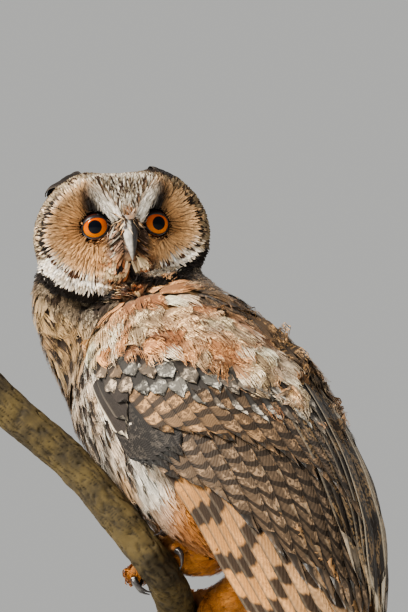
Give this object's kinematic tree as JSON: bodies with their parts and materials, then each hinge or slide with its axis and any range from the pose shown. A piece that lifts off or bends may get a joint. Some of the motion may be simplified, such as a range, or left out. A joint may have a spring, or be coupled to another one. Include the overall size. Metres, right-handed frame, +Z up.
{
  "type": "long eared owl",
  "caption": "Still life-size long-eared owl gripping a short cut branch, looking back over its left shoulder, held by a round display stand with one rod.",
  "frame": {"origin": "centre of the display base's flat underside, on the floor", "axes": "+Z up; the owl looks towards -Y; +X is to the right of someone who looks it in the face"},
  "size_m": [0.2413, 0.1894, 0.4159],
  "materials": {
    "body_feathers": "soft feathers, mottled buff, grey and dark brown",
    "flight_feathers": "smooth barred vanes",
    "leg_feathers": "short plain buff feathers",
    "eye": "clear and wet, orange iris",
    "bill": "smooth horn, satin",
    "claw": "dark polished horn",
    "bark": "rough olive-brown bark",
    "stand_wood": "dark satin-varnished wood",
    "stand_metal": "plain satin steel"
  },
  "bodies": {
    "root": {"torso": "body_feathers", "neck": "body_feathers", "head": "body_feathers", "ear_tuft_left": "body_feathers", "ear_tuft_right": "body_feathers", "wing_left": "flight_feathers", "wing_right": "flight_feathers", "tail": "flight_feathers", "leg_left": "leg_feathers", "leg_right": "leg_feathers", "foot_left": "leg_feathers", "foot_right": "leg_feathers", "eye_left": "eye", "eye_right": "eye", "bill_upper": "bill", "bill_lower": "bill", "claw_left_1": "claw", "claw_left_2": "claw", "claw_left_3": "claw", "claw_left_4": "claw", "claw_right_1": "claw", "claw_right_2": "claw", "claw_right_3": "claw", "claw_right_4": "claw", "perch_branch": "bark", "stand_base": "stand_wood", "stand_rod": "stand_metal"}
  },
  "joints": []
}
